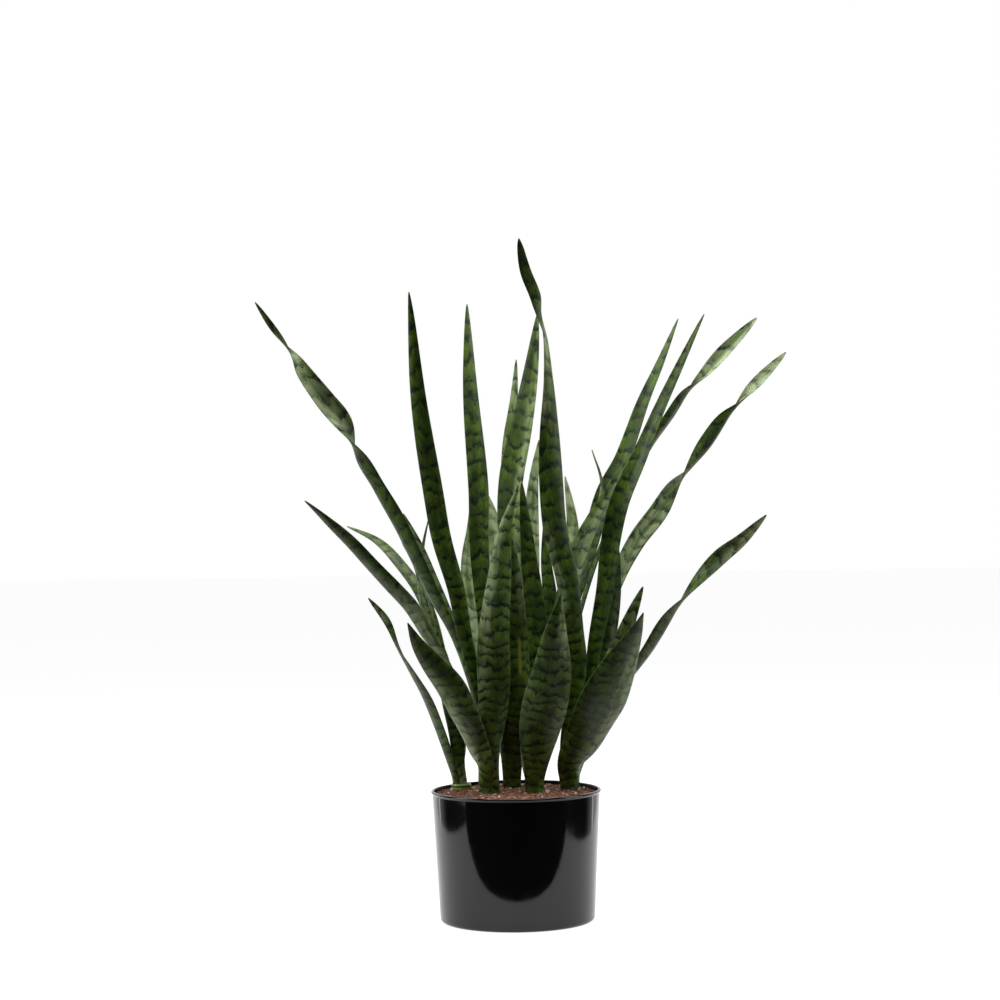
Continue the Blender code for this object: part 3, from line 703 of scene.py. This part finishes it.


# Where pale patches lie on a leaf: partly real wax bloom, partly painted sheen, a painted highlight where
# light glances off the cuticle. Each gives the middle of the patch and half its length as shares of the
# leaf, which half of the blade it lies on (0 is both), and how thick it is, from 0 to 1.
WAX_AND_SHEEN = {
    ("left", 1): ((0.9, 0.3, 0, 0.25),),
    ("left", 2): ((0.0, 0.22, 0, 0.85), (0.5, 0.4, 0, 0.15)),
    ("centre_left", 1): ((0.42, 0.46, 1, 1.0), (0.45, 0.3, 0, 0.2)),
    ("centre_left", 2): ((0.7, 0.6, 1, 0.45), (0.75, 0.4, 0, 0.22)),
    ("centre_left", 3): ((0.52, 0.2, 0, 0.75), (0.95, 0.2, 0, 0.25)),
    ("centre_left", 4): ((0.83, 0.14, 0, 0.62), (0.79, 0.06, -1, 0.5)),
    ("back_left", 1): ((0.9, 0.3, -1, 0.4),),
    ("back_left", 2): ((0.8, 0.7, 0, 0.9),),
    ("back_left", 3): ((0.7, 0.5, 0, 0.4),),
    ("back_left", 4): ((0.85, 0.5, 0, 0.55),),
    ("back_left", 5): ((0.75, 0.45, 1, 0.55),),
    ("centre_right", 1): ((0.62, 0.4, 0, 0.3), (0.9, 0.25, -1, 0.6)),
    ("centre_right", 2): ((0.15, 0.3, 1, 0.9), (0.7, 0.4, 0, 0.2)),
    ("centre_right", 5): ((0.75, 0.35, 0, 0.35),),
    ("right", 1): ((0.6, 0.45, -1, 0.85), (0.8, 0.3, 0, 0.25)),
    ("right", 2): ((1.0, 0.22, 0, 1.0),),
    ("right", 3): ((0.75, 0.35, 0, 0.45),),
    ("right", 4): ((0.42, 0.12, 1, 0.7), (0.76, 0.12, 1, 0.8)),
    ("right", 6): ((0.52, 0.16, 0, 0.75), (0.95, 0.13, 0, 1.0)),
    ("back_right", 1): ((0.8, 0.5, 0, 0.95),),
    ("back_right", 2): ((0.85, 0.5, 0, 0.7),),
    ("back_right", 3): ((0.9, 0.3, 0, 0.5),),
    ("back_right", 4): ((0.92, 0.13, 0, 0.35), (0.90, 0.14, 1, 0.9)),
}

# A thin dry streak on one leaf: where it starts and ends along the blade, and where across it.
DRY_LEAF = ("back_left", 1)
DRY_START = 0.49
DRY_END = 0.62
DRY_ACROSS = -1 / 3


def wax_and_sheen_at(shoot, place, share, part):
    """How thick the wax and painted sheen are at a share of a leaf's length and a place from -1 to 1
    across it.
    """
    total = 0.0
    for middle, reach, half, weight in WAX_AND_SHEEN.get((shoot, place), ()):
        near = eased(1.6 - 1.6 * abs(share - middle) / reach)
        total += weight * near * (eased(1.3 * half * part + 0.2) if half else 1.0)
    return min(total, 1.0)


def dry_at(shoot, place, share, part):
    """Whether a place on a leaf lies on the dry streak."""
    if (shoot, place) != DRY_LEAF or abs(part - DRY_ACROSS) > 0.05:
        return 0.0
    return 0.6 if DRY_START < share < DRY_END else 0.0


number = 0
for shoot, leaves in LEAVES.items():
    for order in range(len(leaves)):
        number += 1
        grow_leaf(shoot, order, number)


# ---------------------------------------------------------------------------------------------
# Pot, sheath and potting mix
# ---------------------------------------------------------------------------------------------


def arc(centre, radius, start, end, steps):
    """Points of an arc in the profile's plane, from a start angle to an end angle in degrees."""
    points = []
    for step in range(steps + 1):
        angle = math.radians(start + (end - start) * step / steps)
        points.append((centre[0] + radius * math.cos(angle), centre[1] + radius * math.sin(angle)))
    return points


def turned(name, profile, steps, centre=(0.0, 0.0)):
    """Spins a closed profile of radii and heights once round an upright axis."""
    mesh = bpy.data.meshes.new(name)
    piece = bpy.data.objects.new(name, mesh)
    bpy.context.scene.collection.objects.link(piece)
    points = [(centre[0] + radius, centre[1], height) for radius, height in profile]
    mesh.from_pydata(points, [(place, place + 1) for place in range(len(points) - 1)], [])
    only(piece)
    bpy.ops.object.mode_set(mode="EDIT")
    bpy.ops.mesh.select_all(action="SELECT")
    bpy.ops.mesh.spin(
        steps=steps, angle=2 * math.pi, center=(centre[0], centre[1], 0.0), axis=(0, 0, 1)
    )
    bpy.ops.mesh.select_all(action="SELECT")
    bpy.ops.mesh.remove_doubles(threshold=0.00002)
    bpy.ops.mesh.normals_make_consistent(inside=False)
    bpy.ops.object.mode_set(mode="OBJECT")
    return piece


def wall_radius(height):
    """The pot's outer radius at a height between its corner and its lip."""
    share = height / (POT_HEIGHT - POT_LIP_HEIGHT)
    return POT_BASE_RADIUS + (POT_NECK_RADIUS - POT_BASE_RADIUS) * share


def make_pot():
    lip = POT_LIP_HEIGHT / 2
    lip_bottom = POT_HEIGHT - POT_LIP_HEIGHT
    inner_top = wall_radius(lip_bottom) - POT_WALL
    inner_base = POT_BASE_RADIUS - POT_WALL
    inner_corner = POT_CORNER - POT_WALL
    wall = []
    for step in range(1, 12):
        height = lip_bottom - 0.0016 + (POT_CORNER - lip_bottom + 0.0016) * step / 12
        wall.append((wall_radius(height), height))
    profile = (
        arc((inner_top + 0.0012, POT_HEIGHT - 0.0012), 0.0012, 180, 90, 5)
        + arc((POT_RIM_RADIUS - lip, POT_HEIGHT - lip), lip, 90, -50, 14)
        + arc((wall_radius(lip_bottom) + 0.0012, lip_bottom - 0.0016), 0.0012, 110, 180, 5)
        + wall
        + arc((POT_BASE_RADIUS - POT_CORNER, POT_CORNER), POT_CORNER, 0, -90, 12)
        + [(POT_BASE_RADIUS * 0.6, 0.0), (0.0, 0.0)]
        + [(0.0, POT_FLOOR), (inner_base - inner_corner, POT_FLOOR)]
        + arc((inner_base - inner_corner, POT_FLOOR + inner_corner), inner_corner, -80, 0, 6)
    )
    profile = profile + profile[:1]
    pot = turned("gloss_pot", profile, 192)
    only(pot)
    bpy.ops.object.shade_smooth_by_angle(angle=math.radians(40))
    finish(pot, PLASTIC, "pot")


def make_sheath():
    x, y = SHOOT_CENTRES["left"]
    outer = bundle_radius("left")
    inner = outer - SHEATH_THICKNESS
    top = MIX_TOP + SHEATH_HEIGHT
    bottom = CROWN_TOP + GAP
    swell = 0.0004
    profile = (
        [(inner, top - 0.0004)]
        + arc((inner + 0.0006, top - 0.0006), 0.0006, 150, 20, 5)
        + [(outer, top - 0.0016), (outer + swell, top - 0.0026), (outer, top - 0.0036)]
        + [(outer + swell, MIX_TOP - 0.001), (outer, bottom), (inner, bottom), (inner, top - 0.0004)]
    )
    sheath = turned("leaf_sheath", profile, 64, (x * MM, y * MM))
    only(sheath)
    bpy.ops.object.shade_smooth_by_angle(angle=math.radians(50))
    finish(sheath, SHEATH, "sheath_left")


def near_shoot(x, y, spare):
    """Whether a place on the mix lies under a shoot's foot."""
    for shoot, centre in SHOOT_CENTRES.items():
        if math.hypot(x - centre[0] * MM, y - centre[1] * MM) < bundle_radius(shoot) + spare:
            return True
    return False


LUMP_LENGTH = 0.016
LUMP_HEIGHT = 0.0013
CRUMB_LENGTH = 0.004
CRUMB_HEIGHT = 0.0011


def mix_height(x, y):
    """The lumpy surface of the mix, never far from level."""
    lumps = noise.noise(Vector((x / LUMP_LENGTH, y / LUMP_LENGTH, 3.1))) * LUMP_HEIGHT
    crumbs = noise.noise(Vector((x / CRUMB_LENGTH, y / CRUMB_LENGTH, 8.7))) * CRUMB_HEIGHT
    return lumps + crumbs


def make_mix():
    radius = wall_radius(MIX_TOP) - POT_WALL - GAP
    low = wall_radius(MIX_LOW[2] + POT_CORNER) - POT_WALL - GAP
    rings = 62
    profile = [(radius * step / rings, MIX_TOP) for step in range(rings + 1)]
    profile += [(low, MIX_LOW[2] + POT_CORNER), (low - POT_CORNER, MIX_LOW[2]), (0.0, MIX_LOW[2])]
    bed = turned("potting_mix_bed", profile, 220)
    for vertex in bed.data.vertices:
        if vertex.co.z > MIX_TOP - 0.001:
            vertex.co.z += mix_height(vertex.co.x, vertex.co.y)
    only(bed)
    bpy.ops.object.shade_flat()
    finish(bed, PEAT, "potting_mix")


def grain(stretch, rng, detail):
    """One rough grain as a small closed mesh, of about 1 m across before it is scaled."""
    shape = bmesh.new()
    bmesh.ops.create_icosphere(shape, subdivisions=detail, radius=0.5)
    for vertex in shape.verts:
        vertex.co *= rng.uniform(0.72, 1.15)
        vertex.co = Vector((vertex.co.x * stretch[0], vertex.co.y * stretch[1], vertex.co.z * stretch[2]))
    mesh = bpy.data.meshes.new("grain")
    shape.to_mesh(mesh)
    shape.free()
    return mesh


FOOT_OVERLAP = 0.001
FOOT_REACH = 0.009
WALL_CLEARANCE = 0.004


def scatter(name, count, sizes, stretch, lift, material, seed, flat=0.5, feet_only=False):
    """Many small grains of a few shapes, lying on the mix between the shoots, as one piece."""
    rng = random.Random(seed)
    shapes = [grain(stretch, rng, 1) for _ in range(6)]
    build = bmesh.new()
    limit = wall_radius(MIX_TOP) - POT_WALL - WALL_CLEARANCE
    placed = 0
    while placed < count:
        angle = rng.uniform(0, 2 * math.pi)
        out = limit * math.sqrt(rng.uniform(0, 1))
        x, y = out * math.cos(angle), out * math.sin(angle)
        if near_shoot(x, y, -FOOT_OVERLAP) or (feet_only and not near_shoot(x, y, FOOT_REACH)):
            continue
        size = sizes[0] + (sizes[1] - sizes[0]) * rng.random() ** 2
        turn = Quaternion((0, 0, 1), rng.uniform(0, 2 * math.pi))
        tip = Quaternion((1, 0, 0), rng.gauss(0, flat)) @ Quaternion((0, 1, 0), rng.gauss(0, flat))
        height = MIX_TOP + mix_height(x, y) + size * stretch[2] * lift
        place = Matrix.LocRotScale(Vector((x, y, height)), turn @ tip, Vector((size, size, size)))
        before = len(build.verts)
        build.from_mesh(shapes[placed % len(shapes)])
        build.verts.ensure_lookup_table()
        bmesh.ops.transform(build, matrix=place, verts=build.verts[before:])
        placed += 1
    mesh = bpy.data.meshes.new(name)
    build.to_mesh(mesh)
    build.free()
    for shape in shapes:
        bpy.data.meshes.remove(shape)
    piece = bpy.data.objects.new(name, mesh)
    bpy.context.scene.collection.objects.link(piece)
    piece.data.materials.append(material)
    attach(piece, "root")


make_pot()
make_sheath()
make_mix()
scatter("bark_chips", 900, (0.0025, 0.007), (1.0, 0.55, 0.3), 0.25, BARK, 4)
scatter("peat_crumbs", 1600, (0.0012, 0.0032), (1.0, 0.8, 0.7), 0.25, PEAT, 9)
scatter("coir_strands", 420, (0.004, 0.013), (1.0, 0.07, 0.06), 3.0, COIR, 14, flat=0.25)
scatter("perlite", 34, (0.0022, 0.0052), (1.0, 0.85, 0.8), 0.35, PERLITE, 21)
scatter("perlite_at_feet", 42, (0.0022, 0.0056), (1.0, 0.85, 0.8), 0.35, PERLITE, 33, feet_only=True)

# ---------------------------------------------------------------------------------------------
# Studio: white floor and table, soft light, and dark surroundings in front for the gloss to mirror
# ---------------------------------------------------------------------------------------------


def studio_sheet(name, place, size, material):
    deselect()
    bpy.ops.mesh.primitive_plane_add(size=1.0, location=place)
    sheet = bpy.context.object
    sheet.name = name
    sheet.scale = (*size, 1.0)
    sheet.data.materials.append(material)
    return sheet


def white_paper(name, paint, glow):
    made, tree, shader = new_material(name)
    shader.inputs["Base Color"].default_value = srgb(paint)
    shader.inputs["Roughness"].default_value = 0.9
    shader.inputs["Specular IOR Level"].default_value = 0.1
    shader.inputs["Emission Color"].default_value = srgb("FFFFFF")
    shader.inputs["Emission Strength"].default_value = glow
    return made


def softbox(name, place, aim, size, power, mirrored=True):
    deselect()
    bpy.ops.object.light_add(type="AREA", location=place)
    lamp = bpy.context.object
    lamp.name = name
    lamp.rotation_euler = (Vector(aim) - Vector(place)).to_track_quat("-Z", "Y").to_euler()
    lamp.data.shape = "RECTANGLE"
    lamp.data.size, lamp.data.size_y = size
    lamp.data.energy = power
    lamp.visible_glossy = mirrored
    lamp.visible_camera = False


TABLE_FRONT = -0.29
TABLE_LEFT = -0.80
TABLE_RIGHT = 0.72
TABLE_DEPTH = 2.4
TABLE_LEVEL = -0.0006
FLOOR_LEVEL = -0.0012
FLOOR_SIZE = 40
PAPER_PAINT = "A8A8A8"
PAPER_GLOW = 0.88
CARD_OUT = 1.9
CARD_BACK = 1.6
CARD_HEIGHT = 0.55
CARD_SIZE = (1.0, 1.9)
CARD_TURN = 50

floor = studio_sheet(
    "studio_floor",
    (0, 0, FLOOR_LEVEL),
    (FLOOR_SIZE, FLOOR_SIZE),
    white_paper("matt_white_floor_paper", PAPER_PAINT, PAPER_GLOW),
)
floor.visible_glossy = False
floor.visible_diffuse = False
table = studio_sheet(
    "studio_table",
    ((TABLE_LEFT + TABLE_RIGHT) / 2, TABLE_FRONT + TABLE_DEPTH / 2, TABLE_LEVEL),
    (TABLE_RIGHT - TABLE_LEFT, TABLE_DEPTH),
    white_paper("matt_white_table_paper", PAPER_PAINT, PAPER_GLOW),
)
table.visible_diffuse = False
CARD = white_paper("glowing_white_card", "F2F2F2", 2.2)

# Two upright glowing cards behind the pot, which the gloss mirrors as the bright lines down its sides.
for side, way in (("left", -1), ("right", 1)):
    card = studio_sheet(f"{side}_white_card", (way * CARD_OUT, CARD_BACK, CARD_HEIGHT), CARD_SIZE, CARD)
    card.rotation_euler = (math.radians(90), 0.0, math.radians(way * CARD_TURN))
    card.visible_camera = False
    card.visible_diffuse = False

softbox("overhead_softbox", (0.0, -0.1, 2.6), (0.0, 0.1, 0.4), (2.6, 2.0), 78)
softbox("left_softbox", (-2.3, -0.3, 1.5), (0.0, 0.0, 0.5), (1.2, 1.8), 40)
softbox("right_softbox", (2.3, -0.1, 1.5), (0.0, 0.0, 0.5), (1.2, 1.8), 34)
softbox("front_fill", (-0.8, -3.2, 1.8), (0.0, 0.0, 0.4), (2.0, 2.0), 12, mirrored=False)

world = bpy.data.worlds.new("white_studio")
bpy.context.scene.world = world
world.use_nodes = True
sky = world.node_tree
sky.nodes.clear()
look = add_node(sky, "ShaderNodeTexCoord")
axes = add_node(sky, "ShaderNodeSeparateXYZ", [(0, look.outputs["Generated"])])
behind = add_node(
    sky, "ShaderNodeMapRange", [(0, axes.outputs[1])], interpolation_type="SMOOTHSTEP",
    in_1=0.35, in_2=0.75, in_3=0.0, in_4=1.0,
)
tone = add_node(sky, "ShaderNodeMix", [(0, behind.outputs[0])], data_type="RGBA")
tone.inputs[6].default_value = srgb("262626")
tone.inputs[7].default_value = (0.9, 0.9, 0.9, 1.0)
around = add_node(sky, "ShaderNodeBackground", [(0, tone.outputs[2])], in_Strength=1.0)
plain = add_node(sky, "ShaderNodeBackground", in_Color=srgb("FFFFFF"), in_Strength=1.0)
ray = add_node(sky, "ShaderNodeLightPath")
both = add_node(
    sky, "ShaderNodeMixShader",
    [(0, ray.outputs["Is Camera Ray"]), (1, around.outputs[0]), (2, plain.outputs[0])],
)
add_node(sky, "ShaderNodeOutputWorld", [(0, both.outputs[0])])
bpy.context.scene.view_settings.view_transform = "Standard"
